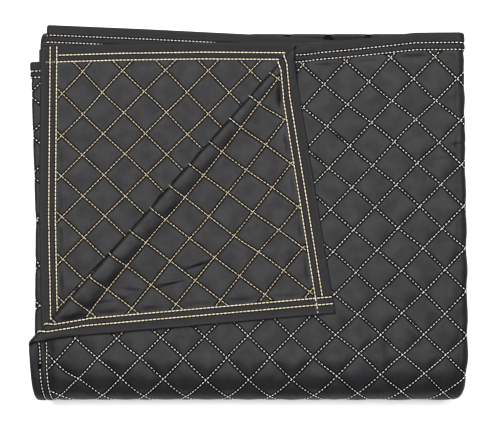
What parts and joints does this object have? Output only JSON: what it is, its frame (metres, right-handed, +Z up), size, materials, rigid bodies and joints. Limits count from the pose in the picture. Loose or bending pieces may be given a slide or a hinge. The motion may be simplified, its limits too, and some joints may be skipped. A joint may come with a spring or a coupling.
{
  "type": "folded quilted moving blanket",
  "caption": "Quilted moving blanket folded into a thick flat stack, with bound edges and one corner of its top ply turned back diagonally.",
  "frame": {"origin": "middle of the folded stack's box, on the surface that it lies on", "axes": "+X to the right along the stack's long side, +Y away from the front roll towards the cloth's ends, +Z up"},
  "size_m": [0.5164, 0.453, 0.1043],
  "materials": {
    "quilted_cloth": "charcoal quilted woven polyester with a soft sheen",
    "binding_tape": "charcoal woven tape with two rows of stitches"
  },
  "bodies": {
    "root": {"quilt_panel": "quilted_cloth", "binding_corner_side": "binding_tape", "binding_far_side": "binding_tape", "binding_first_end": "binding_tape", "binding_last_end": "binding_tape"}
  },
  "joints": []
}
